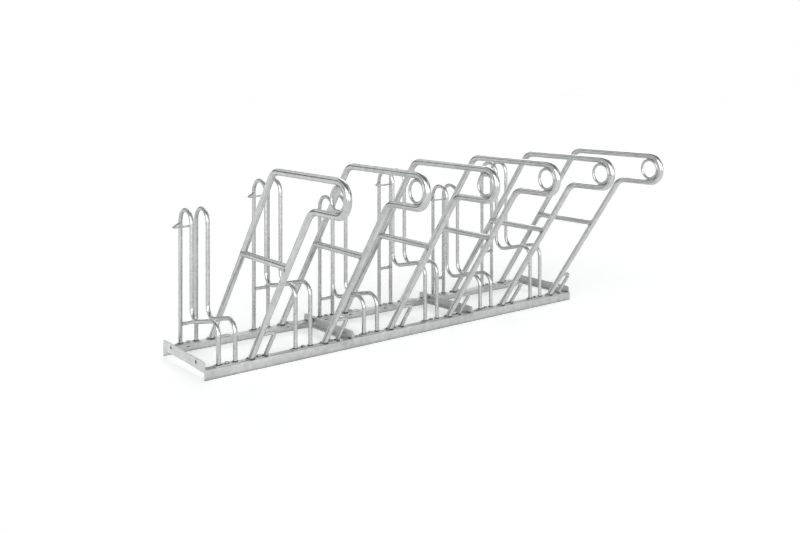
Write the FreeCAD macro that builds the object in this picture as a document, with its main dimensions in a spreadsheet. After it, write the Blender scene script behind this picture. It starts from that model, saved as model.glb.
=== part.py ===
import FreeCAD, Part
import math
import os
import Sketcher
from FreeCAD import Placement, Rotation, Vector

# A floor bike rack of three modules bolted end to end, two places to a module.
# Millimetres, +Z up, X along the row of places, +Y towards the rear of the base.
# Every piece is drawn with Y = 0 on the front rail's outer face and Z = 0 on the
# floor, and its own placement moves it to the row's origin, which is the middle
# of the bounding box on the floor.

MODULES = 3
PLACES_PER_MODULE = 2
PLACES = MODULES * PLACES_PER_MODULE

doc = FreeCAD.newDocument("floor_bike_rack")
sheet = doc.addObject("Spreadsheet::Sheet", "Sizes")

# ---------------------------------------------------------------- driving sizes
DRIVING = [
    # the base
    ("place_pitch", 350, "from one bike to the next"),
    ("base_depth", 400, "outer face to outer face of the rails"),
    ("rail_leg", 40, "both legs of the rail angle"),
    ("steel_wall", 5, "thickness of all the angles and plates"),
    ("rail_root", 6, "fillet in the corner of the rolled rail angle"),
    ("rail_toe", 2.5, "rounding of the rail angle's inner edges"),
    ("cross_high", 40, "standing leg of the cross angle"),
    ("cross_wide", 30, "lying leg of the cross angle"),
    ("corner_run", 7, "length of the slanted cut at the front top corner"),
    ("corner_drop", 8, "depth of the slanted cut at the front top corner"),
    ("corner_round", 8, "rounding of the rear top corner"),
    ("joint_inset", 80, "joint bolts in from the rails' outer faces"),
    ("anchor_inset", 105, "floor anchors in from the rails' outer faces"),
    ("anchor_hole", 12, "diameter of the floor anchor holes"),
    # feet
    ("plate_long", 104, "foot plate along X"),
    ("plate_wide", 30, "foot plate along Y"),
    ("foot_spread", 72, "between the two bars on one foot plate"),
    ("hoop_plate_x", 104.5, "first wheel plate from the place's left edge"),
    ("frame_plate_x", 245, "lean frame plate from the place's left edge"),
    # fasteners, ten millimetre hexagon
    ("bolt_dia", 10, "shank of every bolt"),
    ("bolt_room", 1, "hole larger than the shank by this much"),
    ("hex_flats", 16, "across the flats of heads and nuts"),
    ("head_high", 6.4, "height of a bolt head"),
    ("nut_high", 8, "height of a nut"),
    ("bolt_past_nut", 2.5, "shank showing past the nut"),
    # wheel hoops
    ("hoop_bar", 18, "diameter of the hoop's round bar"),
    ("slot_depth", 112, "between the hoop's two uprights"),
    ("hoop_top", 619, "centre line of a low hoop's top"),
    ("height_step", 100, "how much a high hoop is above a low one"),
    ("hoop_top_bend", 55, "bend radius at the hoop's top"),
    ("hoop_low_bend", 50, "bend radius of the wheel saddle"),
    ("trough_z", 160, "saddle's rear corner on a low hoop"),
    ("hump_z", 218, "saddle's front corner on a low hoop"),
    ("link_bar", 16, "diameter of the bar between a pair of hoops"),
    ("link_z", 128, "height of that bar on a low pair"),
    # lock hook
    ("hook_wire", 8, "diameter of the hook's wire"),
    ("hook_z", 560, "where the hook meets the uprights of a low hoop"),
    ("hook_reach", 60, "the hook's corner out from the upright's middle"),
    ("hook_bend", 13, "bend radius at the hook's tip"),
    ("hook_sag", 11, "slope of the hook down to its tip, in degrees"),
    ("hook_back", 50, "the hook's corner in front of the rear upright"),
    # lean frame
    ("tube", 26.9, "outer diameter of the frame's tube"),
    ("tube_wall", 2.6, "wall of the frame's tube"),
    ("lean", 35.3, "lean of the legs from the upright, in degrees"),
    ("frame_top", 811.2, "centre line of the top tube"),
    ("nose_high", 123.3, "between the top and the lower tube's centre lines"),
    ("nose_out", 672.6, "nose centre line in front of the front rail"),
    ("frame_bend", 71, "bend radius at the knees"),
    ("nose_bend", 60, "bend radius at the nose"),
    ("cross_bar_z", 456, "centre line of the cross bar"),
    ("ring_bar", 12, "diameter of the lock ring's bar"),
    # side brace
    ("brace_bar", 18, "diameter of the side brace"),
    ("brace_z", 161, "where the brace meets the front leg"),
    ("brace_bend", 26, "bend radius of the brace"),
    ("brace_out", 64, "brace's foot to the middle of the front leg, along the rack"),
    # fits
    ("weld_gap", 0.1, "space left for the weld between two round faces"),
    ("trim_z", 25, "where the slanted tubes start before they are cut level"),
]

# ---------------------------------------------------------------- derived sizes
DERIVED = [
    ("module_long", "=%d * place_pitch" % PLACES_PER_MODULE),
    ("rack_long", "=%d * module_long" % MODULES),
    ("cross_foot", "=rail_leg - 2 * steel_wall"),
    ("cross_top", "=cross_foot + cross_high"),
    ("joint_z", "=cross_foot + cross_high / 2 + steel_wall"),
    ("bolt_hole", "=bolt_dia + bolt_room"),
    ("plate_top", "=rail_leg + steel_wall"),
    ("front_y", "=rail_leg / 2"),
    ("rear_y", "=base_depth - rail_leg / 2"),
    ("slot_y", "=rear_y - slot_depth"),
    ("half_spread", "=foot_spread / 2"),
    ("frame_low", "=frame_top - nose_high"),
    ("knee_top_y", "=rear_y - (frame_top - rail_leg) * tan(lean)"),
    ("knee_low_y", "=front_y - (frame_low - rail_leg) * tan(lean)"),
    ("ring_out", "=(nose_high - tube) / 2 - weld_gap"),
    ("ring_mid", "=ring_out - ring_bar / 2"),
    ("ring_y", "=-nose_out + nose_high / 2"),
    ("ring_z", "=frame_top - nose_high / 2"),
    ("nose_tip_y", "=-nose_out - tube / 2"),
    ("origin_x", "=rack_long / 2"),
    ("origin_y", "=(base_depth + nose_tip_y) / 2"),
]

ANGLES = ("lean", "hook_sag")


def fill_sheet():
    """Write every size once, with its name as the alias."""
    row = 1
    for name, value, note in DRIVING:
        text = "=%s deg" % value if name in ANGLES else str(value)
        sheet.set("A%d" % row, name)
        sheet.set("B%d" % row, text)
        sheet.set("C%d" % row, note)
        sheet.setAlias("B%d" % row, name)
        row += 1
    doc.recompute()
    for name, formula in DERIVED:
        sheet.set("A%d" % row, name)
        sheet.set("B%d" % row, formula)
        sheet.setAlias("B%d" % row, name)
        row += 1
    doc.recompute()


fill_sheet()


def named(expression):
    """Turn words such as rear_y into the sheet's own Sizes.rear_y."""
    out = []
    word = ""
    for letter in expression + " ":
        if letter.isalnum() or letter == "_":
            word += letter
            continue
        if word in ALIASES:
            word = "Sizes." + word
        out.append(word + letter)
        word = ""
    return "".join(out).strip()


ALIASES = [row[0] for row in DRIVING] + [row[0] for row in DERIVED]


def value(expression):
    """The number that an expression of sizes gives."""
    result = sheet.evalExpression(named(expression))
    return getattr(result, "Value", result)


def bind(thing, prop, expression):
    thing.setExpression(prop, named(expression))


def place(thing, x, y="0", z="0"):
    """Bind a node's placement, counted from the row's origin."""
    bind(thing, "Placement.Base.x", "%s - origin_x" % x)
    bind(thing, "Placement.Base.y", "%s - origin_y" % y)
    bind(thing, "Placement.Base.z", z)


# ---------------------------------------------------------------- sketch helpers
def origin_plane(body, role):
    return [f for f in body.Origin.OriginFeatures if f.Role == role][0]


def new_sketch(body, role, offset=None):
    sketch = body.newObject("Sketcher::SketchObject", "Sketch")
    sketch.AttachmentSupport = [(origin_plane(body, role), "")]
    sketch.MapMode = "FlatFace"
    if offset:
        sketch.AttachmentOffset = offset
    return sketch


def pin_point(sketch, geo, position, x_expr, y_expr):
    """Hold one point of a sketch at two bound coordinates."""
    for kind, expression, axis in (("DistanceX", x_expr, -2), ("DistanceY", y_expr, -1)):
        size = value(expression)
        if abs(size) < 1e-6:
            sketch.addConstraint(Sketcher.Constraint("PointOnObject", geo, position, axis))
            continue
        index = sketch.addConstraint(Sketcher.Constraint(kind, -1, 1, geo, position, size))
        bind(sketch, "Constraints[%d]" % index, expression)


def corner_arc(before, corner, after, radius):
    """Arc that rounds a corner: its two ends, and the geometry between them."""
    to_before = (before - corner).normalize()
    to_after = (after - corner).normalize()
    half = to_before.getAngle(to_after) / 2
    start = corner + to_before * (radius / math.tan(half))
    end = corner + to_after * (radius / math.tan(half))
    middle = (to_before + to_after).normalize()
    centre = corner + middle * (radius / math.sin(half))
    arc = Part.Arc(start, centre - middle * radius, end)
    left_turn = (corner - before).cross(after - corner).z > 0
    return start, end, arc, left_turn


def draw_line_of_corners(sketch, corners, radii, closed):
    """A chain of straight lines through bound corners, some of them rounded."""
    count = len(corners)
    points = [Vector(value(x), value(y), 0) for x, y in corners]
    marks = []
    for point, (x_expr, y_expr) in zip(points, corners):
        mark = sketch.addGeometry(Part.Point(point), True)
        pin_point(sketch, mark, 1, x_expr, y_expr)
        marks.append(mark)
    rounds = {}
    for index in range(count):
        radius = radii.get(index)
        if radius is None:
            continue
        before = points[index - 1]
        after = points[(index + 1) % count]
        rounds[index] = corner_arc(before, points[index], after, value(radius))
    steps = range(count if closed else count - 1)
    lines = []
    for index in steps:
        following = (index + 1) % count
        start = rounds[index][1] if index in rounds else points[index]
        end = rounds[following][0] if following in rounds else points[following]
        lines.append(sketch.addGeometry(Part.LineSegment(start, end), False))
    for index in range(count):
        line_in = lines[index - 1] if (closed or index > 0) else None
        line_out = lines[index] if index < len(lines) else None
        if index not in rounds:
            for line, end in ((line_in, 2), (line_out, 1)):
                if line is not None:
                    sketch.addConstraint(
                        Sketcher.Constraint("Coincident", line, end, marks[index], 1))
            continue
        start, end, shape, left_turn = rounds[index]
        arc = sketch.addGeometry(shape, False)
        first, last = (1, 2) if left_turn else (2, 1)
        sketch.addConstraint(Sketcher.Constraint("Tangent", line_in, 2, arc, first))
        sketch.addConstraint(Sketcher.Constraint("Tangent", arc, last, line_out, 1))
        sketch.addConstraint(Sketcher.Constraint("PointOnObject", marks[index], 1, line_in))
        sketch.addConstraint(Sketcher.Constraint("PointOnObject", marks[index], 1, line_out))
        size = value(radii[index])
        fixed = sketch.addConstraint(Sketcher.Constraint("Radius", arc, size))
        bind(sketch, "Constraints[%d]" % fixed, radii[index])


def draw_circle(sketch, x_expr, y_expr, diameter_expr):
    centre = Vector(value(x_expr), value(y_expr), 0)
    radius = value(diameter_expr) / 2
    circle = sketch.addGeometry(Part.Circle(centre, Vector(0, 0, 1), radius), False)
    pin_point(sketch, circle, 3, x_expr, y_expr)
    fixed = sketch.addConstraint(Sketcher.Constraint("Diameter", circle, 2 * radius))
    bind(sketch, "Constraints[%d]" % fixed, diameter_expr)


# ---------------------------------------------------------------- body helpers
nodes = []


def new_body(label):
    body = doc.addObject("PartDesign::Body", label)
    body.Label = label
    nodes.append(body)
    return body


def bent_bar(body, role, corners, radii, diameters, offset=None):
    """A round bar or tube along a rounded line of corners."""
    path = new_sketch(body, role, offset)
    draw_line_of_corners(path, corners, radii, False)
    doc.recompute()
    section = body.newObject("Sketcher::SketchObject", "Section")
    section.AttachmentSupport = [(path, "Edge1")]
    section.MapMode = "NormalToEdge"
    section.MapPathParameter = 0.0
    for diameter in diameters:
        draw_circle(section, "0", "0", diameter)
    doc.recompute()
    pipe = body.newObject("PartDesign::AdditivePipe", "Bent")
    pipe.Profile = section
    edges = ["Edge%d" % (number + 1) for number in range(len(path.Shape.Edges))]
    pipe.Spine = (path, edges)
    body.Tip = pipe
    doc.recompute()
    return pipe


def pad(body, sketch, length_expr, reverse=False):
    feature = body.newObject("PartDesign::Pad", "Pad")
    feature.Profile = sketch
    bind(feature, "Length", length_expr)
    feature.Reversed = reverse
    body.Tip = feature
    return feature


def pocket_through(body, sketch):
    feature = body.newObject("PartDesign::Pocket", "Pocket")
    feature.Profile = sketch
    feature.Type = "ThroughAll"
    feature.SideType = "Symmetric"
    body.Tip = feature
    return feature


def cut_below(body, level_expr):
    """Cut a foot level, where it stands on its plate."""
    box = body.newObject("PartDesign::SubtractiveBox", "Level")
    bind(box, "Length", "4 * foot_spread")
    bind(box, "Width", "3 * base_depth")
    bind(box, "Height", level_expr)
    bind(box, "Placement.Base.x", "-2 * foot_spread")
    bind(box, "Placement.Base.y", "-base_depth")
    body.Tip = box
    return box


def cope(body, y_expr, z_expr, diameter_expr, tilted, x_expr="0"):
    """Hollow a bar's end to fit the round bar that it is welded to."""
    tool = body.newObject("PartDesign::SubtractiveCylinder", "Cope")
    bind(tool, "Radius", "%s / 2 + weld_gap" % diameter_expr)
    bind(tool, "Height", "4 * foot_spread")
    lean = math.radians(value("lean")) if tilted else 0.0
    tool.Placement = Placement(Vector(0, 0, 0), Rotation(Vector(1, 0, 0), math.degrees(lean)))
    slope = "(lean)" if tilted else "(0 * lean)"
    bind(tool, "Placement.Base.x", x_expr)
    bind(tool, "Placement.Base.y", "%s + 2 * foot_spread * sin%s" % (y_expr, slope))
    bind(tool, "Placement.Base.z", "%s - 2 * foot_spread * cos%s" % (z_expr, slope))
    if tilted:
        bind(tool, "Placement.Rotation.Angle", "lean")
    body.Tip = tool
    return tool


# ---------------------------------------------------------------- base
def rail(label, module, at_front):
    """Rolled angle along one module, web outside, flange on top."""
    body = new_body(label)
    sketch = new_sketch(body, "YZ_Plane")
    if at_front:
        far = ["0", "steel_wall", "rail_leg"]
    else:
        far = ["base_depth", "base_depth - steel_wall", "base_depth - rail_leg"]
    outer, inner, tip = far
    under = "rail_leg - steel_wall"
    corners = [(outer, "0"), (inner, "0"), (inner, under), (tip, under),
               (tip, "rail_leg"), (outer, "rail_leg")]
    radii = {1: "rail_toe", 2: "rail_root", 3: "rail_toe"}
    draw_line_of_corners(sketch, corners, radii, True)
    pad(body, sketch, "module_long")
    # both ends are notched for the standing leg of the cross angle
    for x_expr in ("0", "module_long - steel_wall"):
        box = body.newObject("PartDesign::SubtractiveBox", "Notch")
        bind(box, "Length", "steel_wall")
        bind(box, "Width", "base_depth")
        bind(box, "Height", "2 * steel_wall")
        bind(box, "Placement.Base.x", x_expr)
        bind(box, "Placement.Base.y", "steel_wall")
        bind(box, "Placement.Base.z", "cross_foot")
        body.Tip = box
    holes = new_sketch(body, "XY_Plane")
    for number in range(PLACES_PER_MODULE):
        for plate in ("hoop_plate_x", "frame_plate_x"):
            draw_circle(holes, "%d * place_pitch + %s" % (number, plate),
                        "front_y" if at_front else "rear_y", "bolt_hole")
    pocket_through(body, holes)
    place(body, "%d * module_long" % module)
    return body


def cross_angle(label, module, at_left):
    """Angle across one end of a module, with joint holes and floor anchor holes."""
    body = new_body(label)
    side = "" if at_left else "-"
    upright = new_sketch(body, "YZ_Plane")
    start = "steel_wall"
    corners = [(start, "cross_foot"), ("base_depth", "cross_foot"), ("base_depth", "cross_top"),
               ("steel_wall + corner_run", "cross_top"), (start, "cross_top - corner_drop")]
    draw_line_of_corners(upright, corners, {2: "corner_round", 3: "corner_round"}, True)
    pad(body, upright, "steel_wall", reverse=not at_left)
    lying = new_sketch(body, "XY_Plane", Placement(Vector(0, 0, value("cross_foot")), Rotation()))
    bind(lying, "AttachmentOffset.Base.z", "cross_foot")
    near = "steel_wall + rail_root"
    far = "base_depth - steel_wall - rail_root"
    wide = "%scross_wide" % side
    corners = [("0", near), (wide, near), (wide, far), ("0", far)]
    if not at_left:
        corners.reverse()
    draw_line_of_corners(lying, corners, {}, True)
    pad(body, lying, "steel_wall")
    bolts = new_sketch(body, "YZ_Plane")
    for y_expr in ("joint_inset", "base_depth - joint_inset"):
        draw_circle(bolts, y_expr, "joint_z", "bolt_hole")
    pocket_through(body, bolts)
    anchors = new_sketch(body, "XY_Plane")
    for y_expr in ("anchor_inset", "base_depth / 2", "base_depth - anchor_inset"):
        draw_circle(anchors, "%s(cross_wide + steel_wall) / 2" % side, y_expr, "anchor_hole")
    pocket_through(body, anchors)
    end = module if at_left else module + 1
    place(body, "%d * module_long" % end)
    return body


# ---------------------------------------------------------------- places
def rise_of(place_number):
    """Low and high holders take turns, and the first is low."""
    return "%d * height_step" % (place_number % 2)


def wheel_hoop(label, place_number, side):
    """Round bar bent into the wheel slot's frame, with the saddle for the tyre."""
    body = new_body(label)
    rise = rise_of(place_number)
    corners = [("rear_y", "plate_top"),
               ("rear_y", "hoop_top + %s" % rise),
               ("slot_y", "hoop_top + %s" % rise),
               ("slot_y", "trough_z + %s" % rise),
               ("front_y", "hump_z + %s" % rise),
               ("front_y", "plate_top")]
    radii = {1: "hoop_top_bend", 2: "hoop_top_bend", 3: "hoop_low_bend", 4: "hoop_low_bend"}
    bent_bar(body, "YZ_Plane", corners, radii, ["hoop_bar"])
    place(body, "%d * place_pitch + hoop_plate_x + %d * half_spread" % (place_number, side))
    return body


def lock_hook(label, place_number):
    """Bent wire on the left hoop, sloping out and down to a round tip."""
    body = new_body(label)
    height = "hook_z + %s" % rise_of(place_number)
    tilt = Placement(Vector(0, 0, value(height)), Rotation(Vector(0, -1, 0), value("hook_sag")))
    corners = [("0", "rear_y"), ("-hook_reach", "rear_y - hook_back"), ("0", "slot_y")]
    bent_bar(body, "XY_Plane", corners, {1: "hook_bend"}, ["hook_wire"], tilt)
    path = body.Group[0]
    bind(path, "AttachmentOffset.Base.z", height)
    bind(path, "AttachmentOffset.Rotation.Angle", "hook_sag")
    cope(body, "rear_y", height, "hoop_bar", False)
    cope(body, "slot_y", height, "hoop_bar", False)
    place(body, "%d * place_pitch + hoop_plate_x - half_spread" % place_number)
    return body


def on_leg(foot_y, level):
    """Y of a leaning leg's centre line at one height."""
    return "%s - (%s - rail_leg) * tan(lean)" % (foot_y, level)


def frame_x(place_number):
    return "%d * place_pitch + frame_plate_x - half_spread" % place_number


def lean_frame(label, place_number):
    """One long tube: rear leg, top tube, nose, lower tube, front leg."""
    body = new_body(label)
    corners = [(on_leg("rear_y", "trim_z"), "trim_z"),
               ("knee_top_y", "frame_top"),
               ("-nose_out", "frame_top"),
               ("-nose_out", "frame_low"),
               ("knee_low_y", "frame_low"),
               (on_leg("front_y", "trim_z"), "trim_z")]
    radii = {1: "frame_bend", 2: "nose_bend", 3: "nose_bend", 4: "frame_bend"}
    bent_bar(body, "YZ_Plane", corners, radii, ["tube", "tube - 2 * tube_wall"])
    cut_below(body, "plate_top")
    place(body, frame_x(place_number))
    return body


def cross_bar(label, place_number):
    """Level tube between the two legs, its ends hollowed to fit them."""
    body = new_body(label)
    start = on_leg("front_y", "cross_bar_z")
    section = new_sketch(body, "XZ_Plane")
    draw_circle(section, "0", "cross_bar_z", "tube")
    draw_circle(section, "0", "cross_bar_z", "tube - 2 * tube_wall")
    section.AttachmentOffset = Placement(Vector(0, 0, -value(start)), Rotation())
    bind(section, "AttachmentOffset.Base.z", "-(%s)" % start)
    pad(body, section, "rear_y - front_y", reverse=True)
    cope(body, start, "cross_bar_z", "tube", True)
    cope(body, on_leg("rear_y", "cross_bar_z"), "cross_bar_z", "tube", True)
    place(body, frame_x(place_number))
    return body


def lock_ring(label, place_number):
    """Closed ring of round bar inside the nose."""
    ring = doc.addObject("Part::Torus", label)
    ring.Label = label
    ring.Placement = Placement(Vector(0, 0, 0), Rotation(Vector(0, 1, 0), 90))
    bind(ring, "Radius1", "ring_mid")
    bind(ring, "Radius2", "ring_bar / 2")
    nodes.append(ring)
    place(ring, frame_x(place_number), "ring_y", "ring_z")
    return ring


def side_brace(label, place_number):
    """Bar that leaves the front leg sideways and bends down to the same foot plate."""
    body = new_body(label)
    up = "(brace_z - rail_leg) / cos(lean)"
    down = "(trim_z - rail_leg) / cos(lean)"
    tilt = Placement(Vector(0, value("rail_leg"), -value("front_y")),
                     Rotation(Vector(1, 0, 0), value("lean")))
    corners = [("0", up), ("brace_out", up), ("brace_out", down)]
    bent_bar(body, "XZ_Plane", corners, {1: "brace_bend"}, ["brace_bar"], tilt)
    path = body.Group[0]
    bind(path, "AttachmentOffset.Base.y", "rail_leg")
    bind(path, "AttachmentOffset.Base.z", "-front_y")
    bind(path, "AttachmentOffset.Rotation.Angle", "lean")
    cut_below(body, "plate_top")
    cope(body, on_leg("front_y", "brace_z"), "brace_z", "tube", True)
    place(body, frame_x(place_number))
    return body


# ---------------------------------------------------------------- groups
def cylinder(diameter_expr, height_expr):
    shape = doc.addObject("Part::Cylinder", "Round")
    bind(shape, "Radius", "(%s) / 2" % diameter_expr)
    bind(shape, "Height", height_expr)
    return shape


def hexagon(height_expr):
    shape = doc.addObject("Part::Prism", "Hexagon")
    shape.Polygon = 6
    bind(shape, "Circumradius", "hex_flats / sqrt(3)")
    bind(shape, "Height", height_expr)
    return shape


def cut(base, tool):
    result = doc.addObject("Part::Cut", "Cut")
    result.Base = base
    result.Tool = tool
    return result


def fuse(base, tool):
    result = doc.addObject("Part::Fuse", "Joined")
    result.Base = base
    result.Tool = tool
    return result


def shift(thing, x, y, z):
    """Bind where a piece stands inside its group."""
    bind(thing, "Placement.Base.x", x)
    bind(thing, "Placement.Base.y", y)
    bind(thing, "Placement.Base.z", z)
    return thing


def hex_bolt(grip_expr):
    """Head above zero, shank down through the grip, the nut and a little more."""
    shank = cylinder("bolt_dia", "head_high / 2 + %s + nut_high + bolt_past_nut" % grip_expr)
    bind(shank, "Placement.Base.z", "-(%s + nut_high + bolt_past_nut)" % grip_expr)
    return fuse(hexagon("head_high"), shank)


def hex_nut(grip_expr):
    """Nut under the grip, bored for the shank."""
    body = hexagon("nut_high")
    bind(body, "Placement.Base.z", "-(%s + nut_high)" % grip_expr)
    bore = cylinder("bolt_dia + 2 * weld_gap", "2 * nut_high")
    bind(bore, "Placement.Base.z", "-(%s + 1.5 * nut_high)" % grip_expr)
    return cut(body, bore)


def foot_plate():
    box = doc.addObject("Part::Box", "Plate")
    bind(box, "Length", "plate_long")
    bind(box, "Width", "plate_wide")
    bind(box, "Height", "steel_wall")
    shift(box, "-plate_long / 2", "-plate_wide / 2", "0")
    hole = cylinder("bolt_hole", "3 * steel_wall")
    bind(hole, "Placement.Base.z", "-steel_wall")
    return cut(box, hole)


def group(label, pieces):
    node = doc.addObject("Part::Compound", label)
    node.Label = label
    node.Links = pieces
    nodes.append(node)
    place(node, "0")
    return node


def foot_spots():
    """X and Y of every foot plate's middle."""
    for number in range(PLACES):
        for plate in ("hoop_plate_x", "frame_plate_x"):
            for y_expr in ("front_y", "rear_y"):
                yield "%d * place_pitch + %s" % (number, plate), y_expr


def joint_spots():
    """X, Y of the bolts that hold two modules together."""
    for joint in range(1, MODULES):
        for y_expr in ("joint_inset", "base_depth - joint_inset"):
            yield "%d * module_long" % joint, y_expr


def feet():
    plates = [shift(foot_plate(), x, y, "rail_leg") for x, y in foot_spots()]
    bolts = [shift(hex_bolt("2 * steel_wall"), x, y, "plate_top") for x, y in foot_spots()]
    nuts = [shift(hex_nut("2 * steel_wall"), x, y, "plate_top") for x, y in foot_spots()]
    group("foot_plates", plates)
    group("foot_bolts", bolts)
    group("foot_nuts", nuts)


def joints():
    """Bolts lie along X, heads on the right, nuts on the left of each joint."""
    made = []
    for build in (hex_bolt, hex_nut):
        row = []
        for x, y in joint_spots():
            piece = build("2 * steel_wall")
            piece.Placement = Placement(Vector(0, 0, 0), Rotation(Vector(0, 1, 0), 90))
            row.append(shift(piece, "%s + steel_wall" % x, y, "joint_z"))
        made.append(row)
    group("joint_bolts", made[0])
    group("joint_nuts", made[1])


def hoop_links():
    """Short bar between the rear uprights of each pair of hoops."""
    pieces = []
    for number in range(PLACES):
        x = "%d * place_pitch + hoop_plate_x" % number
        height = "link_z + %s" % rise_of(number)
        bar = cylinder("link_bar", "foot_spread")
        bar.Placement = Placement(Vector(0, 0, 0), Rotation(Vector(0, 1, 0), 90))
        shift(bar, "%s - half_spread" % x, "rear_y", height)
        for side in (-1, 1):
            upright = cylinder("hoop_bar + 2 * weld_gap", "4 * link_bar")
            shift(upright, "%s + %d * half_spread" % (x, side), "rear_y",
                  "%s - 2 * link_bar" % height)
            bar = cut(bar, upright)
        pieces.append(bar)
    group("hoop_links", pieces)


# ---------------------------------------------------------------- the rack
for module in range(MODULES):
    rail("front_rail_%d" % (module + 1), module, True)
    rail("rear_rail_%d" % (module + 1), module, False)
    cross_angle("cross_angle_left_%d" % (module + 1), module, True)
    cross_angle("cross_angle_right_%d" % (module + 1), module, False)

for number in range(PLACES):
    name = number + 1
    wheel_hoop("wheel_hoop_left_%d" % name, number, -1)
    wheel_hoop("wheel_hoop_right_%d" % name, number, 1)
    lock_hook("lock_hook_%d" % name, number)
    lean_frame("lean_frame_%d" % name, number)
    cross_bar("cross_bar_%d" % name, number)
    lock_ring("lock_ring_%d" % name, number)
    side_brace("side_brace_%d" % name, number)

hoop_links()
feet()
joints()
doc.recompute()

# ---------------------------------------------------------------- checks and export
for thing in doc.Objects:
    if "Invalid" in thing.State or "Error" in thing.State:
        raise RuntimeError("%s (%s) did not build" % (thing.Name, thing.Label))

os.makedirs("parts", exist_ok=True)
for node in nodes:
    if node.Shape.isNull() or not node.Shape.isValid():
        raise RuntimeError("%s has no valid shape" % node.Label)
    node.Shape.exportStep("parts/%s.step" % node.Label)
    box = node.Shape.BoundBox
    print("%-20s solids %2d  volume %9.0f  x %7.1f %7.1f  y %7.1f %7.1f  z %6.1f %6.1f" % (
        node.Label, len(node.Shape.Solids), node.Shape.Volume,
        box.XMin, box.XMax, box.YMin, box.YMax, box.ZMin, box.ZMax))
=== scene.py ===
# %% [markdown]
# # A floor bike rack in hot-dip galvanised steel
# The rack is three short modules bolted end to end. Each module is a frame of
# angle steel that carries two places, and each place is a pair of bent round
# bars for the wheel and a leaning tube frame with a ring for the lock. The
# solid model gives every size, so this script loads it first and only then
# builds what a solid model leaves out: smooth bends, weld beads, rounded steel
# edges, hexagon fasteners and the mottled zinc coat.

# %% Load the solid model
import math

import bmesh
import bpy
from mathutils import Matrix, Vector


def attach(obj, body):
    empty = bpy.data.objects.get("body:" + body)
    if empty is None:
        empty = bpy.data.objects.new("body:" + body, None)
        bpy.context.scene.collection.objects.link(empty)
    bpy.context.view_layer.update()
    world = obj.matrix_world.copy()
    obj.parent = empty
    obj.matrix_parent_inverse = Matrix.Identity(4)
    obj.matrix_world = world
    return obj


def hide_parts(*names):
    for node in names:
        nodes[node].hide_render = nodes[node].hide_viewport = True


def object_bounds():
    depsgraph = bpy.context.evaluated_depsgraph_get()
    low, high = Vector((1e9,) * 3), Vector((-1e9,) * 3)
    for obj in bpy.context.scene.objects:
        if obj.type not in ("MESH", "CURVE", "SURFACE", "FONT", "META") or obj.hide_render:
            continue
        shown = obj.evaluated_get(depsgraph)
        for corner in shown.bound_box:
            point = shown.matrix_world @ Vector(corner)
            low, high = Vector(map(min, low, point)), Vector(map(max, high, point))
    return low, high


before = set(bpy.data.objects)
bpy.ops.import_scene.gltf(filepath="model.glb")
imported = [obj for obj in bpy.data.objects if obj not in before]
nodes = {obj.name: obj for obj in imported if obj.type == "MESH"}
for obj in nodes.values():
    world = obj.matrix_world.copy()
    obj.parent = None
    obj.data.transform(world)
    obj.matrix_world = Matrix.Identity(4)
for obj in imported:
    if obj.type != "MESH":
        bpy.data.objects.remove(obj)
cad_low, cad_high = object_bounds()
print("solid model:", len(nodes), "nodes, size", [round(v, 4) for v in cad_high - cad_low])

# %% [markdown]
# ## Sizes that repeat
# Blender works in metres, while the shop works in millimetres, so one factor
# turns the drawing's numbers into metres. Places are counted from the left end,
# and everything else is measured from the outer face of the front rail, because
# that is how the rack is laid out on the shop floor.

# %% Sizes in millimetres, turned into metres
MM = 0.001
PLACES = 6
MODULES = 3
PITCH = 350 * MM
MODULE_LONG = 2 * PITCH
BASE_DEEP = 400 * MM
HIGH_STEP = 100 * MM
LEFT_END = cad_low.x
FRONT_FACE = cad_high.y - BASE_DEEP
FRONT_ROW = FRONT_FACE + 20 * MM
REAR_ROW = FRONT_FACE + 380 * MM
PLATE_TOP = 45 * MM
RAIL_TOP = 40 * MM
LEAN = math.radians(35.3)
HOOP_X = (68.5 * MM, 140.5 * MM)
FRAME_X = 209 * MM
BRACE_X = 273 * MM
PLATE_X = (104.5 * MM, 245 * MM)
JOINT_Y = (80 * MM, 320 * MM)
JOINT_Z = 55 * MM


def left_of(place):
    """Left edge of one place, counted from zero."""
    return LEFT_END + place * PITCH


def rise_of(place):
    """Low and high holders take turns, so that handlebars pass each other."""
    return HIGH_STEP * (place % 2)


def on_leg(row, height):
    """Where a leaning leg's centre line is at one height."""
    return row - (height - RAIL_TOP) * math.tan(LEAN)


print("first place starts at", round(left_of(0), 4), "rear row at", round(REAR_ROW, 4))

# %% [markdown]
# ## The zinc coat
# Hot-dip galvanising leaves crystals a few millimetres across, cloudy patches
# where the steel cooled at different speeds, and fine runs where the zinc
# drained. Three textures on Object coordinates make those three things: a
# Voronoi pattern for the crystals, broad noise for the clouds, and stretched
# noise for the runs. They change both the colour and the roughness, because a
# crystal is a patch with its own gloss. A photograph would give the same look,
# but a procedure stays sharp at any distance.
#
# The runs are stretched along Z, and `along` turns them with a leaning tube.
# Flat rolled steel comes out of the bath dull, while drawn bar and tube come
# out bright, so the bars get less roughness and more metal in them. Their grain
# is coarse on purpose: a fine grain on a bright bar breaks up into specks. The
# rear rails and the left end plate get a lighter copy of the angle coat, which
# is painted light, and the angles are darker along the floor and round the
# drilled holes, which is painted shade.


# %% A helper that joins shader nodes
def add_node(tree, kind, **settings):
    """New node with its inputs set by name and its links made from sockets."""
    node = tree.nodes.new(kind)
    for key, value in settings.items():
        if key.startswith("in_"):
            socket = node.inputs[key[3:].replace("_", " ")]
            if isinstance(value, bpy.types.NodeSocket):
                tree.links.new(value, socket)
            else:
                socket.default_value = value
        else:
            setattr(node, key, value)
    return node


def ranged(tree, source, low, high, start=0.3, end=0.7):
    """Stretch a texture's middle range to the wanted span."""
    node = add_node(tree, "ShaderNodeMapRange", in_Value=source, clamp=True)
    for name, value in (("From Min", start), ("From Max", end), ("To Min", low), ("To Max", high)):
        node.inputs[name].default_value = value
    return node.outputs["Result"]


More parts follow.
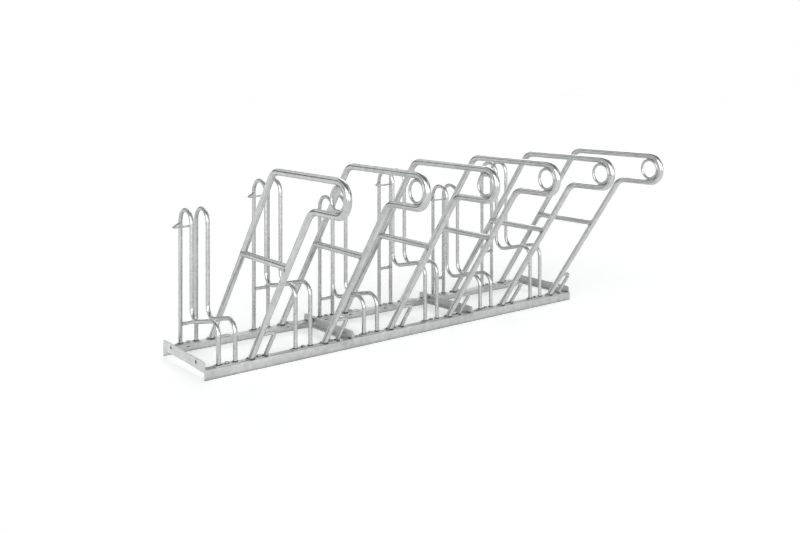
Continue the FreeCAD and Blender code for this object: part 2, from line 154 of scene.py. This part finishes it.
def multiply(tree, first, second):
    node = add_node(tree, "ShaderNodeMath", operation="MULTIPLY")
    tree.links.new(first, node.inputs[0])
    tree.links.new(second, node.inputs[1])
    return node.outputs[0]


# %% The zinc coat itself
def painted_hole_shade(tree, spot, tone):
    """Painted shade: the plate is darkened round its joint holes, standing for the shade inside
    them.
    """
    for y in JOINT_Y:
        across = add_node(tree, "ShaderNodeMapping", in_Vector=spot,
                          in_Location=(0.0, -FRONT_FACE - y, -JOINT_Z), in_Scale=(0.0, 1.0, 1.0))
        away = add_node(tree, "ShaderNodeVectorMath", operation="LENGTH")
        tree.links.new(across.outputs["Vector"], away.inputs[0])
        tone = multiply(tree, tone, ranged(tree, away.outputs["Value"], 0.22, 1.0,
                                           7.0 * MM, 8.5 * MM))
    return tone


def painted_floor_shade(tree, spot, tone):
    """Painted shade: darker towards the lower edge, standing for the shade where the steel meets
    the floor.
    """
    height = add_node(tree, "ShaderNodeSeparateXYZ", in_Vector=spot).outputs["Z"]
    return multiply(tree, tone, ranged(tree, height, 0.55, 1.0, 0.0, 11 * MM))


def zinc_coat(name, dark, light, rough, crystal=9 * MM, metallic=0.5, bump=0.12,
              grain_size=1.1 * MM, streaks=(0.93, 1.04), along=0.0, extras=()):
    """Galvanised steel: crystals, clouds and runs between a dark and a light grey."""
    material = bpy.data.materials.new(name)
    material.use_nodes = True
    tree = material.node_tree
    shader = tree.nodes["Principled BSDF"]
    spot = add_node(tree, "ShaderNodeTexCoord").outputs["Object"]
    clouds = add_node(tree, "ShaderNodeTexNoise", in_Vector=spot, in_Scale=34.0,
                      in_Detail=5.0, in_Roughness=0.60).outputs["Fac"]
    turned = add_node(tree, "ShaderNodeMapping", in_Vector=spot,
                      in_Rotation=(math.radians(along), 0.0, 0.0))
    stretch = add_node(tree, "ShaderNodeMapping", in_Vector=turned.outputs["Vector"],
                       in_Scale=(120.0, 120.0, 5.0))
    runs = add_node(tree, "ShaderNodeTexNoise", in_Vector=stretch.outputs["Vector"],
                    in_Scale=1.0, in_Detail=3.0).outputs["Fac"]
    flakes = add_node(tree, "ShaderNodeTexVoronoi", in_Vector=spot, in_Scale=1.0 / crystal,
                      in_Randomness=1.0)
    grain = add_node(tree, "ShaderNodeTexNoise", in_Vector=spot, in_Scale=1.0 / grain_size,
                     in_Detail=2.0).outputs["Fac"]
    one_flake = add_node(tree, "ShaderNodeSeparateColor",
                         in_Color=flakes.outputs["Color"]).outputs["Red"]
    cloudy = ranged(tree, clouds, 0.0, 1.0)
    drained = ranged(tree, runs, *streaks)
    crystals = ranged(tree, one_flake, 0.96, 1.04, 0.0, 1.0)
    mix = add_node(tree, "ShaderNodeMix", data_type="RGBA", in_Factor=cloudy)
    mix.inputs[6].default_value = (*dark, 1.0)
    mix.inputs[7].default_value = (*light, 1.0)
    tone = multiply(tree, drained, crystals)
    for extra in extras:
        tone = extra(tree, spot, tone)
    scaled = add_node(tree, "ShaderNodeVectorMath", operation="SCALE")
    tree.links.new(mix.outputs[2], scaled.inputs[0])
    tree.links.new(tone, scaled.inputs["Scale"])
    tree.links.new(scaled.outputs["Vector"], shader.inputs["Base Color"])
    gloss = multiply(tree, ranged(tree, clouds, rough + 0.04, rough - 0.03),
                     ranged(tree, one_flake, 0.93, 1.07, 0.0, 1.0))
    tree.links.new(gloss, shader.inputs["Roughness"])
    shader.inputs["Metallic"].default_value = metallic
    relief = add_node(tree, "ShaderNodeBump", in_Height=multiply(tree, grain, clouds))
    relief.inputs["Strength"].default_value = bump
    relief.inputs["Distance"].default_value = 0.4 * MM
    tree.links.new(relief.outputs["Normal"], shader.inputs["Normal"])
    print("material", name, "with", len(tree.nodes), "shader nodes")
    return material


# Both angle coats carry painted shade along the floor, from painted_floor_shade.
ANGLE_ZINC = zinc_coat("angle_zinc", (0.43, 0.435, 0.435), (0.55, 0.555, 0.555), 0.40, 11 * MM,
                       streaks=(0.97, 1.02), extras=(painted_floor_shade,))
# Painted light: a lighter copy of the angle coat for the rear rails and the left end plate, where
# more light falls.
PAINTED_LIGHT_ZINC = zinc_coat("painted_light_zinc", (0.56, 0.565, 0.565), (0.68, 0.685, 0.685), 0.40, 11 * MM,
                      streaks=(0.97, 1.02), extras=(painted_floor_shade, painted_hole_shade))
BAR_ZINC = zinc_coat("bar_zinc", (0.47, 0.475, 0.475), (0.57, 0.575, 0.575), 0.27, 7 * MM,
                     metallic=0.85, bump=0.10, grain_size=14 * MM, streaks=(0.86, 1.06))
TUBE_ZINC = zinc_coat("tube_zinc", (0.50, 0.505, 0.505), (0.61, 0.615, 0.615), 0.18, 9 * MM,
                      metallic=0.85, bump=0.10, grain_size=18 * MM, streaks=(0.88, 1.06),
                      along=-35.3)
WIRE_ZINC = zinc_coat("wire_zinc", (0.30, 0.305, 0.305), (0.42, 0.425, 0.425), 0.42, 7 * MM,
                      grain_size=14 * MM)
# Partly painted shade: the fasteners' own dull zinc, run down to almost black to stand for the
# shade round the heads and nuts.
BOLT_ZINC_AND_SHADE = zinc_coat("bolt_zinc_and_shade", (0.07, 0.07, 0.075), (0.52, 0.52, 0.53), 0.28, 3 * MM,
                      metallic=0.9, bump=0.05)
# Painted shade: almost black, for the beads at the feet and in the base corners, standing for the
# shade in those corners.
WELD_PAINTED_SHADE = zinc_coat("weld_painted_shade", (0.02, 0.02, 0.022), (0.11, 0.11, 0.115), 0.70, 3 * MM,
                      metallic=0.2, bump=0.5)
SEAM_ZINC = zinc_coat("seam_zinc", (0.16, 0.16, 0.162), (0.36, 0.36, 0.365), 0.55, 3 * MM,
                      metallic=0.2, bump=0.5)

# %% [markdown]
# ## Angle steel, plates and straight pieces
# The rails, cross angles and foot plates are right as they come from the solid
# model, but their edges are perfectly sharp, and real steel always has a small
# radius that catches the light. A Weld modifier joins the loose triangles, and
# a narrow Bevel rounds what is sharper than thirty degrees. Round pieces only
# need smooth shading, with an Edge Split where an end is cut square.


# %% Finish the nodes that keep their shape
def coat(piece, material):
    piece.data.materials.clear()
    piece.data.materials.append(material)


def join_triangles(piece):
    weld = piece.modifiers.new("joined", "WELD")
    weld.merge_threshold = 0.01 * MM
    piece.data.polygons.foreach_set("use_smooth", [True] * len(piece.data.polygons))


def round_edges(piece, width):
    join_triangles(piece)
    edge = piece.modifiers.new("steel_edge", "BEVEL")
    edge.width = width
    edge.segments = 2
    edge.limit_method = "ANGLE"
    edge.angle_limit = math.radians(30)
    edge.harden_normals = True
    edge.use_clamp_overlap = True


def smooth_round(piece):
    join_triangles(piece)
    split = piece.modifiers.new("cut_ends", "EDGE_SPLIT")
    split.split_angle = math.radians(35)


painted_light_names = ("rear_rail", "cross_angle_left_1")
flat_names = ("front_rail", "rear_rail", "cross_angle", "foot_plates")
tube_names = ("lean_frame", "cross_bar")
flat_count = round_count = 0
for name, piece in nodes.items():
    # The rear rails and the left end plate take the lighter copy, which is painted light.
    if name.startswith(flat_names):
        coat(piece, PAINTED_LIGHT_ZINC if name.startswith(painted_light_names) else ANGLE_ZINC)
        round_edges(piece, 0.7 * MM)
        flat_count += 1
    elif name.startswith(tube_names):
        coat(piece, TUBE_ZINC)
        smooth_round(piece)
        round_count += 1
    elif name.startswith("lock_hook"):
        coat(piece, WIRE_ZINC)
        smooth_round(piece)
        round_count += 1
    else:
        coat(piece, BAR_ZINC)
        smooth_round(piece)
        round_count += 1
print(flat_count, "flat pieces with rounded edges,", round_count, "round pieces smoothed")

# %% [markdown]
# ## Bent bars and tubes
# A bar bender works along the bar: it feeds a straight run, turns the bar round
# a die, and feeds again. The mesh is made the same way. A ring of vertices is
# extruded along each straight run and spun about the die's centre at each bend,
# which keeps the bar perfectly round all the way, as a swept curve would, with
# no seam at the bends.

# %% Feed, bend and close a round bar
SIDES = 32
STEPS_PER_TURN = 64


def new_part(name, bm, material, stands_for=()):
    """Turn a finished bmesh into a piece that rides on the rack."""
    for edge in bm.edges:
        edge.smooth = edge.calc_face_angle(0.0) < math.radians(38)
    for face in bm.faces:
        face.smooth = True
    mesh = bpy.data.meshes.new(name)
    bm.to_mesh(mesh)
    bm.free()
    piece = bpy.data.objects.new(name, mesh)
    bpy.context.scene.collection.objects.link(piece)
    mesh.materials.append(material)
    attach(piece, "root")
    if stands_for:
        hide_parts(*stands_for)
    return piece


def rim_of(geometry):
    verts = {v for v in geometry if isinstance(v, bmesh.types.BMVert)}
    return [e for e in geometry
            if isinstance(e, bmesh.types.BMEdge) and all(v in verts for v in e.verts)]


def feed(bm, rim, travel):
    """Extrude the rim along a straight run."""
    made = bmesh.ops.extrude_edge_only(bm, edges=rim)["geom"]
    verts = [v for v in made if isinstance(v, bmesh.types.BMVert)]
    bmesh.ops.translate(bm, verts=verts, vec=travel)
    return rim_of(made)


def bend(bm, rim, centre, axis, angle):
    """Spin the rim round the die."""
    steps = max(4, round(STEPS_PER_TURN * angle / math.tau))
    made = bmesh.ops.spin(bm, geom=rim, cent=centre, axis=axis, angle=angle, steps=steps,
                          use_duplicate=False, use_merge=False)
    last = made["geom_last"]
    return [e for e in last if isinstance(e, bmesh.types.BMEdge)]


def bent_bar(bm, corners, bends, thick):
    """Round bar through the corners of its drawing, with one bend at each."""
    first = (corners[1] - corners[0]).normalized()
    turned = first.to_track_quat("Z", "Y").to_matrix().to_4x4()
    made = bmesh.ops.create_circle(bm, cap_ends=True, segments=SIDES, radius=thick / 2,
                                   matrix=Matrix.Translation(corners[0]) @ turned)
    rim = list({e for v in made["verts"] for e in v.link_edges})
    here = corners[0]
    for number, radius in enumerate(bends, start=1):
        corner = corners[number]
        back = (corners[number - 1] - corner).normalized()
        onward = (corners[number + 1] - corner).normalized()
        half = back.angle(onward) / 2
        setback = radius / math.tan(half)
        rim = feed(bm, rim, corner + back * setback - here)
        centre = corner + (back + onward).normalized() * (radius / math.sin(half))
        rim = bend(bm, rim, centre, (-back).cross(onward).normalized(), math.pi - 2 * half)
        here = corner + onward * setback
    rim = feed(bm, rim, corners[-1] - here)
    bmesh.ops.contextual_create(bm, geom=rim)
    bmesh.ops.recalc_face_normals(bm, faces=bm.faces)


def cut_level(bm, height):
    """Cut everything below one height and close the cut."""
    geometry = list(bm.verts) + list(bm.edges) + list(bm.faces)
    made = bmesh.ops.bisect_plane(bm, geom=geometry, plane_co=(0, 0, height),
                                  plane_no=(0, 0, 1), clear_inner=True)
    rim = [e for e in made["geom_cut"] if isinstance(e, bmesh.types.BMEdge)]
    bmesh.ops.edgeloop_fill(bm, edges=rim)
    bmesh.ops.recalc_face_normals(bm, faces=bm.faces)


# %% [markdown]
# ## Wheel hoops
# One round bar, eighteen millimetres thick, makes each side of a wheel slot. It
# rises at the rear, turns over the top, comes down as the slot's front post,
# then sweeps forward into the saddle that carries the tyre and drops to the
# front rail. Both sides of a pair have the same shape, so one function serves
# for all twelve.

# %% Wheel hoops
HOOP_BAR = 18 * MM
LINK_BAR = 16 * MM
BRACE_BAR = 18 * MM
HOOP_TOP = 619 * MM
SLOT_POST = REAR_ROW - 112 * MM
TROUGH = 160 * MM
HUMP = 218 * MM
HOOP_BENDS = (55 * MM, 55 * MM, 50 * MM, 50 * MM)


def hoop_corners(x, rise):
    return [Vector((x, REAR_ROW, PLATE_TOP)),
            Vector((x, REAR_ROW, HOOP_TOP + rise)),
            Vector((x, SLOT_POST, HOOP_TOP + rise)),
            Vector((x, SLOT_POST, TROUGH + rise)),
            Vector((x, FRONT_ROW, HUMP + rise)),
            Vector((x, FRONT_ROW, PLATE_TOP))]


for place in range(PLACES):
    for side, offset in zip(("left", "right"), HOOP_X):
        node_name = "wheel_hoop_%s_%d" % (side, place + 1)
        bm = bmesh.new()
        bent_bar(bm, hoop_corners(left_of(place) + offset, rise_of(place)),
                 HOOP_BENDS, HOOP_BAR)
        hoop = new_part("hoop_bar_%s_%d" % (side, place + 1), bm, BAR_ZINC,
                        [node_name])
print("hoop bar:", len(hoop.data.polygons), "faces, box", [round(v, 4) for v in hoop.dimensions])

# %% [markdown]
# ## Leaning frames
# The tall frame is one tube: up the rear leg, forward along the top, round the
# nose, back along the lower run and down the front leg. Both legs lean at the
# same angle. The tube is swept past its feet and then cut level, which gives
# the slanted oval foot that a saw makes in the shop.

# %% Leaning frames
TUBE = 26.9 * MM
TOP_RUN = 811.2 * MM
NOSE_HIGH = 123.3 * MM
LOW_RUN = TOP_RUN - NOSE_HIGH
NOSE_Y = FRONT_FACE - 672.6 * MM
SAW_START = 25 * MM
FRAME_BENDS = (71 * MM, 60 * MM, 60 * MM, 71 * MM)


def frame_corners(x):
    return [Vector((x, on_leg(REAR_ROW, SAW_START), SAW_START)),
            Vector((x, on_leg(REAR_ROW, TOP_RUN), TOP_RUN)),
            Vector((x, NOSE_Y, TOP_RUN)),
            Vector((x, NOSE_Y, LOW_RUN)),
            Vector((x, on_leg(FRONT_ROW, LOW_RUN), LOW_RUN)),
            Vector((x, on_leg(FRONT_ROW, SAW_START), SAW_START))]


for place in range(PLACES):
    bm = bmesh.new()
    bent_bar(bm, frame_corners(left_of(place) + FRAME_X), FRAME_BENDS, TUBE)
    cut_level(bm, PLATE_TOP)
    tube = new_part("frame_tube_%d" % (place + 1), bm, TUBE_ZINC,
                    ["lean_frame_%d" % (place + 1)])
print("frame tube:", len(tube.data.polygons), "faces, box", [round(v, 4) for v in tube.dimensions])

# %% [markdown]
# ## Weld beads
# A weld is a small ridge of metal that ran into the corner between two pieces,
# and its surface shows the ripples of the torch. Each bead starts as a small
# circle spun into a ring, is swollen and pinched along its length, and is then
# stretched and bent to lie on the surface that it joins. The beads are darker
# than the bars, because zinc takes badly on the weld's scale. The beads at the
# feet and in the corners of the base are painted almost black, which is painted
# shade of the corners where they sit.


# %% A rippled ring of weld
def bead_ring(bm, ring_radius, fat, ripples):
    """Ring of weld round the Z axis; returns its vertices."""
    made = bmesh.ops.create_circle(bm, segments=8, radius=fat, matrix=Matrix.Translation(
        (ring_radius, 0, 0)) @ Matrix.Rotation(math.radians(90), 4, "X"))
    seam = list({e for v in made["verts"] for e in v.link_edges})
    before = set(bm.verts) - set(made["verts"])
    bmesh.ops.spin(bm, geom=made["verts"] + seam, cent=(0, 0, 0), axis=(0, 0, 1),
                   angle=math.tau, steps=44, use_merge=True, use_duplicate=False)
    verts = [v for v in bm.verts if v not in before]
    for vert in verts:
        around = math.atan2(vert.co.y, vert.co.x)
        core = Vector((math.cos(around), math.sin(around), 0)) * ring_radius
        swell = 1 + 0.16 * math.sin(ripples * around) + 0.10 * math.sin(3 * around + 1.3)
        vert.co = core + (vert.co - core) * swell
    return verts


def lay(bm, verts, matrix):
    bmesh.ops.transform(bm, verts=verts, matrix=matrix)


# The default coat is the painted shade of the feet and base corners.
def closed_part(name, bm, material=WELD_PAINTED_SHADE):
    bmesh.ops.recalc_face_normals(bm, faces=bm.faces)
    piece = new_part(name, bm, material)
    print(name, "has", len(piece.data.polygons), "faces")
    return piece


# %% Beads round the feet
bm = bmesh.new()
slant = Matrix.Scale(1 / math.cos(LEAN), 4, (0, 1, 0))
for place in range(PLACES):
    for offset in HOOP_X:
        for row in (FRONT_ROW, REAR_ROW):
            lay(bm, bead_ring(bm, HOOP_BAR / 2, 3.6 * MM, 15),
                Matrix.Translation((left_of(place) + offset, row, PLATE_TOP)))
    for row in (FRONT_ROW, REAR_ROW):
        spot = Vector((left_of(place) + FRAME_X, on_leg(row, PLATE_TOP), PLATE_TOP))
        lay(bm, bead_ring(bm, TUBE / 2, 3.1 * MM, 21), Matrix.Translation(spot) @ slant)
    spot = Vector((left_of(place) + BRACE_X, on_leg(FRONT_ROW, PLATE_TOP), PLATE_TOP))
    lay(bm, bead_ring(bm, BRACE_BAR / 2, 3.4 * MM, 15), Matrix.Translation(spot) @ slant)
closed_part("weld_beads_feet", bm)


# %% Beads where a bar meets a round leg
def saddle(verts, radius):
    """Bend a flat ring down over a round leg that runs along local Y."""
    for vert in verts:
        reach = min(abs(vert.co.x), radius)
        vert.co.z -= radius - math.sqrt(radius * radius - reach * reach)


def frame_of(origin, out, along):
    """Matrix whose Z points out of the leg and whose Y runs along it."""
    side = along.cross(out).normalized()
    matrix = Matrix((side, along.normalized(), out.normalized())).transposed().to_4x4()
    return Matrix.Translation(origin) @ matrix


LEG = Vector((0, -math.sin(LEAN), math.cos(LEAN)))
OUT = Vector((0, math.cos(LEAN), math.sin(LEAN)))
CROSS_Z = 456 * MM
BRACE_Z = 161 * MM
LINK_Z = 128 * MM
bm = bmesh.new()
for place in range(PLACES):
    x = left_of(place) + FRAME_X
    for row, facing in ((FRONT_ROW, 1), (REAR_ROW, -1)):
        verts = bead_ring(bm, TUBE / 2, 2.4 * MM, 19)
        lay(bm, verts, slant)
        saddle(verts, TUBE / 2)
        middle = Vector((x, on_leg(row, CROSS_Z), CROSS_Z))
        surface = middle + Vector((0, facing * TUBE / 2 / math.cos(LEAN), 0))
        lay(bm, verts, frame_of(surface, OUT * facing, LEG))
    verts = bead_ring(bm, BRACE_BAR / 2, 1.9 * MM, 15)
    saddle(verts, TUBE / 2)
    middle = Vector((x + TUBE / 2, on_leg(FRONT_ROW, BRACE_Z), BRACE_Z))
    lay(bm, verts, frame_of(middle, Vector((1, 0, 0)), LEG))
    for offset, facing in zip(HOOP_X, (1, -1)):
        verts = bead_ring(bm, LINK_BAR / 2 - 0.4 * MM, 1.8 * MM, 13)
        saddle(verts, HOOP_BAR / 2)
        middle = Vector((left_of(place) + offset + facing * HOOP_BAR / 2, REAR_ROW,
                         LINK_Z + rise_of(place)))
        lay(bm, verts, frame_of(middle, Vector((facing, 0, 0)), Vector((0, 0, 1))))
closed_part("weld_beads_bars", bm, SEAM_ZINC)


# %% Tack welds of the lock rings and hooks
def tack(bm, place_at, along, long, fat):
    """Short lens of weld."""
    made = bmesh.ops.create_icosphere(bm, subdivisions=2, radius=1.0)
    turned = along.to_track_quat("X", "Z").to_matrix().to_4x4()
    size = Matrix.Diagonal((long / 2, fat, fat, 1.0))
    for vert in made["verts"]:
        vert.co *= 1 + 0.09 * math.sin(14 * vert.co.x)
    lay(bm, made["verts"], Matrix.Translation(place_at) @ turned @ size)


RING_OUT = (NOSE_HIGH - TUBE) / 2
RING_MID = Vector((0, NOSE_Y + NOSE_HIGH / 2, TOP_RUN - NOSE_HIGH / 2))
HOOK_Z = 560 * MM
bm = bmesh.new()
for place in range(PLACES):
    x = left_of(place) + FRAME_X
    for side in (-1, 1):
        for away, along in (((0, 0, 1), (0, 1, 0)), ((0, -1, 0), (0, 0, 1)),
                            ((0, 0, -1), (0, 1, 0))):
            spot = RING_MID + Vector(away) * RING_OUT + Vector((x + side * 3.5 * MM, 0, 0))
            tack(bm, spot, Vector(along), 20 * MM, 2.6 * MM)
    for row, way in ((REAR_ROW, -1), (SLOT_POST, 1)):
        spot = Vector((left_of(place) + HOOP_X[0] - 8.5 * MM, row + way * 6.5 * MM,
                       HOOK_Z - 1.5 * MM + rise_of(place)))
        tack(bm, spot, Vector((-1, way, -0.2)), 10 * MM, 4.9 * MM)
closed_part("weld_tacks", bm, SEAM_ZINC)

# %% Beads along the corners of the base
bm = bmesh.new()
for module in range(MODULES):
    for end, inward in ((0.0, 1), (MODULE_LONG, -1)):
        x = LEFT_END + module * MODULE_LONG + end + inward * 5.6 * MM
        for near, far in ((6, 39), (361, 394)):
            middle = FRONT_FACE + (near + far) / 2 * MM
            tack(bm, Vector((x, middle, RAIL_TOP + 0.2 * MM)), Vector((0, 1, 0)),
                 (far - near) * MM, 2.6 * MM)
closed_part("weld_beads_base", bm)

# %% [markdown]
# ## Hexagon bolts and nuts
# A pressed bolt head isn't a plain prism: its top corners are turned off, so
# the upper face is a circle inside the hexagon. The head starts as a six-sided
# cone with no taper, and its top rim is bevelled. The shank that shows past the
# nut has its thread, made of rings that are fed along and drawn in and out.

# %% Bolt and nut shapes
FLATS = 16 * MM
CORNERS = FLATS / math.sqrt(3)
HEAD = 6.4 * MM
NUT = 8 * MM
GRIP = 10 * MM
BOLT = 10 * MM


def hexagon(bm, low, high, chamfer_low, chamfer_high):
    """Six-sided block between two levels, with its rims turned off."""
    depth = high - low
    made = bmesh.ops.create_cone(bm, cap_ends=True, segments=6, radius1=CORNERS,
                                 radius2=CORNERS, depth=depth,
                                 matrix=Matrix.Translation((0, 0, (low + high) / 2)))
    edges = {e for v in made["verts"] for e in v.link_edges}
    rims = [e for e in edges
            if (chamfer_high and all(v.co.z > high - depth / 4 for v in e.verts))
            or (chamfer_low and all(v.co.z < low + depth / 4 for v in e.verts))]
    before = set(bm.verts) - set(made["verts"])
    bmesh.ops.bevel(bm, geom=rims, offset=0.9 * MM, affect="EDGES", segments=2,
                    profile=0.5, material=-1, clamp_overlap=True)
    return [v for v in bm.verts if v not in before]


def threaded_end(bm, low, high):
    """Bolt end with rings for its thread, closed at the tip."""
    made = bmesh.ops.create_circle(bm, cap_ends=True, segments=20, radius=BOLT / 2 - 1 * MM,
                                   matrix=Matrix.Translation((0, 0, low)))
    verts = list(made["verts"])
    rim = list({e for v in verts for e in v.link_edges})
    steps = 8
    for number in range(steps):
        rim = feed(bm, rim, Vector((0, 0, (high - low) / steps)))
        ring = list({v for e in rim for v in e.verts})
        verts += ring
        wanted = BOLT / 2 - (0.0 if number % 2 == 0 else 0.6 * MM)
        now = math.hypot(ring[0].co.x, ring[0].co.y)
        bmesh.ops.scale(bm, verts=ring, vec=(wanted / now, wanted / now, 1))
    return verts


def bolt_and_nut(bolts, nuts, matrix):
    """Head above the grip in one mesh, nut and thread under it."""
    shank = bmesh.ops.create_cone(bolts, cap_ends=True, segments=20, radius1=BOLT / 2,
                                  radius2=BOLT / 2, depth=GRIP + HEAD / 2,
                                  matrix=Matrix.Translation((0, 0, -GRIP / 2 + HEAD / 4)))
    verts = list(shank["verts"]) + hexagon(bolts, 0, HEAD, False, True)
    verts += threaded_end(bolts, -GRIP - NUT - 2.5 * MM, -GRIP - NUT + 3 * MM)
    lay(bolts, list(set(verts)), matrix)
    verts = hexagon(nuts, -GRIP - NUT, -GRIP, True, True)
    lay(nuts, verts, matrix)


# %% Bolts of the foot plates
def place_fasteners(spots, label):
    """All the bolts and nuts of one kind; each stands with its own small turn."""
    bolts = bmesh.new()
    nuts = bmesh.new()
    for number, spot in enumerate(spots):
        turn = Matrix.Rotation(math.radians(37 * number % 60), 4, "Z")
        bolt_and_nut(bolts, nuts, spot @ turn)
    for bm, kind in ((bolts, "bolts"), (nuts, "nuts")):
        bmesh.ops.recalc_face_normals(bm, faces=bm.faces)
        piece = new_part("hex_%s_%s" % (kind, label), bm, BOLT_ZINC_AND_SHADE,
                         ["%s_%s" % (label, kind)])
        print(piece.name, "has", len(piece.data.polygons), "faces")


foot_spots = [Matrix.Translation((left_of(place) + x, row, PLATE_TOP))
              for place in range(PLACES) for x in PLATE_X for row in (FRONT_ROW, REAR_ROW)]
place_fasteners(foot_spots, "foot")

# %% Bolts between the modules
lying = Matrix.Rotation(math.radians(90), 4, "Y")
joint_spots = [Matrix.Translation((LEFT_END + joint * MODULE_LONG + 5 * MM,
                                   FRONT_FACE + y, JOINT_Z)) @ lying
               for joint in range(1, MODULES) for y in JOINT_Y]
place_fasteners(joint_spots, "joint")

# %% [markdown]
# ## Floor, light and camera
# The rack stands on a white studio floor. The floor glows a little where the
# camera or a reflection looks at it, so that it reaches white without more light
# on the steel, and it still takes the soft shadow of the base.
#
# Bright bars show what is around them, so an even white room would make them
# look like white plastic. The ceiling has a dark gap between two white panels,
# set by the height of each direction, and the gap draws the long dark lines
# that make a round bar read as metal. The panels are a touch blue, as daylight
# tubes are, and the camera itself sees plain white there.
# The three lamps are wide and far off, because a near lamp would leave the end
# of such a long rack in the dark. The camera is level and shifted down, as a
# lens with perspective control keeps uprights upright.

# %% Floor
FLOOR_GLOW = 0.39


def background_seen(tree):
    """One where the camera, a reflection or clear glass looks at the background."""
    path = add_node(tree, "ShaderNodeLightPath")
    total = path.outputs["Is Camera Ray"]
    for name in ("Is Glossy Ray", "Is Transmission Ray"):
        total = add_node(tree, "ShaderNodeMath", operation="MAXIMUM", in_Value=total)
        tree.links.new(path.outputs[name], total.inputs[1])
        total = total.outputs[0]
    return total


FLOOR_REACH = 60.0
floor_mesh = bpy.data.meshes.new("floor")
bm = bmesh.new()
bmesh.ops.create_grid(bm, x_segments=1, y_segments=1, size=FLOOR_REACH)
bm.to_mesh(floor_mesh)
bm.free()
floor = bpy.data.objects.new("floor", floor_mesh)
bpy.context.scene.collection.objects.link(floor)
floor_paint = bpy.data.materials.new("floor_paint")
floor_paint.use_nodes = True
tree = floor_paint.node_tree
paint = tree.nodes["Principled BSDF"]
paint.inputs["Base Color"].default_value = (0.92, 0.92, 0.92, 1.0)
paint.inputs["Roughness"].default_value = 0.9
paint.inputs["Specular IOR Level"].default_value = 0.0
glow = add_node(tree, "ShaderNodeEmission", in_Color=(1, 1, 1, 1),
                in_Strength=ranged(tree, background_seen(tree), 0.0, FLOOR_GLOW, 0.0, 1.0))
both = add_node(tree, "ShaderNodeAddShader")
tree.links.new(paint.outputs[0], both.inputs[0])
tree.links.new(glow.outputs[0], both.inputs[1])
tree.links.new(both.outputs[0], tree.nodes["Material Output"].inputs["Surface"])
floor_mesh.materials.append(floor_paint)
print("floor", [round(v) for v in floor.dimensions])

# %% World and lamps
CEILING = ((0.18, 0.06), (0.36, 0.06), (0.44, 1.0), (0.62, 1.0))
world = bpy.data.worlds.new("studio")
bpy.context.scene.world = world
world.use_nodes = True
tree = world.node_tree
back = tree.nodes["Background"]
level = ranged(tree, background_seen(tree), 0.40, 1.0, 0.0, 1.0)
sky = add_node(tree, "ShaderNodeTexCoord").outputs["Generated"]
upward = add_node(tree, "ShaderNodeSeparateXYZ", in_Vector=sky).outputs["Z"]
ceiling = add_node(tree, "ShaderNodeValToRGB", in_Fac=upward)
stops = ceiling.color_ramp.elements
stops[0].position, stops[0].color = 0.13, (1, 1, 1, 1)
stops[1].position, stops[1].color = 0.78, (0.12, 0.12, 0.12, 1)
for position, grey in CEILING:
    stops.new(position).color = (grey * 0.95, grey * 0.98, grey, 1)
seen_directly = add_node(tree, "ShaderNodeLightPath").outputs["Is Camera Ray"]
plain = add_node(tree, "ShaderNodeMix", data_type="RGBA", in_Factor=seen_directly)
tree.links.new(ceiling.outputs["Color"], plain.inputs[6])
plain.inputs[7].default_value = (1, 1, 1, 1)
tree.links.new(plain.outputs[2], back.inputs["Color"])
tree.links.new(level, back.inputs["Strength"])


def soft_lamp(name, toward, power, spread):
    """Large soft source, so far off that it lights the whole floor alike."""
    data = bpy.data.lights.new(name, "SUN")
    data.energy = power
    data.angle = math.radians(spread)
    lamp = bpy.data.objects.new(name, data)
    lamp.location = Vector(toward) * 5
    lamp.rotation_euler = Vector(toward).to_track_quat("Z", "Y").to_euler()
    bpy.context.scene.collection.objects.link(lamp)


soft_lamp("front_left_lamp", (-0.80, -0.50, 0.32), 2.4, 50)
soft_lamp("front_lamp", (0.10, -0.97, 0.20), 1.1, 35)
soft_lamp("right_lamp", (0.50, 0.45, 0.74), 0.9, 45)

# %% Camera
IMAGE_WIDE = 800
FOCUS_PIXELS = 880.75
camera_data = bpy.data.cameras.new("camera")
camera_data.sensor_width = 36.0
camera_data.lens = 36.0 * FOCUS_PIXELS / IMAGE_WIDE
camera_data.shift_x = -0.0006
camera_data.shift_y = -0.2288
camera_data.clip_end = 200.0
camera = bpy.data.objects.new("camera", camera_data)
camera.location = (LEFT_END - 1.4934, FRONT_FACE - 3.1460, 1.1502)
camera.rotation_euler = (math.radians(90), 0, -math.radians(37.924))
bpy.context.scene.collection.objects.link(camera)
bpy.context.scene.camera = camera
bpy.context.scene.view_settings.view_transform = "Standard"
print("camera lens", round(camera_data.lens, 2), "mm at", [round(v, 3) for v in camera.location])
